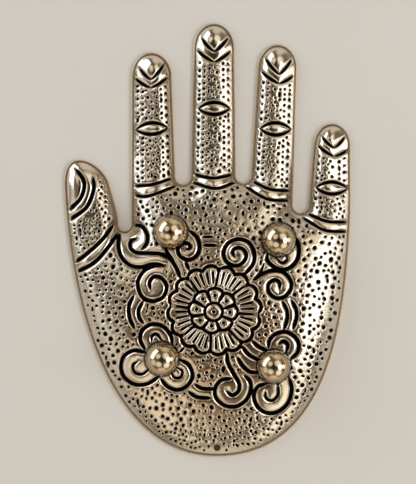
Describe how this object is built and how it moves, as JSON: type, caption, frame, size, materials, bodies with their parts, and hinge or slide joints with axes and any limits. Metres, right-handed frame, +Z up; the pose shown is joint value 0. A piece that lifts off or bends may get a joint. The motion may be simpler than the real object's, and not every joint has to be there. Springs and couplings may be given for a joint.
{
  "type": "hand-shaped incense ash catcher",
  "caption": "Pressed metal hamsa hand with a chased face, a stick hole in the heel and polished ball feet; turned over, its hollow side catches incense ash.",
  "frame": {"origin": "under the middle of the hand's outline, on the surface that the rim rests on", "axes": "+Y towards the fingertips, +Z up out of the worked face that carries the balls, +X towards the little finger"},
  "size_m": [0.1002, 0.1512, 0.021],
  "materials": {
    "plate": "pale plated brass, satin polished, with blackened chasing",
    "ball": "pale plated brass, mirror polished",
    "fixing": "plain turned brass"
  },
  "bodies": {
    "root": {"hand_plate": "plate", "ball_upper_left": "ball", "ball_upper_right": "ball", "ball_lower_left": "ball", "ball_lower_right": "ball", "washer_upper_left": "fixing", "washer_upper_right": "fixing", "washer_lower_left": "fixing", "washer_lower_right": "fixing", "screw_upper_left": "fixing", "screw_upper_right": "fixing", "screw_lower_left": "fixing", "screw_lower_right": "fixing"}
  },
  "joints": []
}
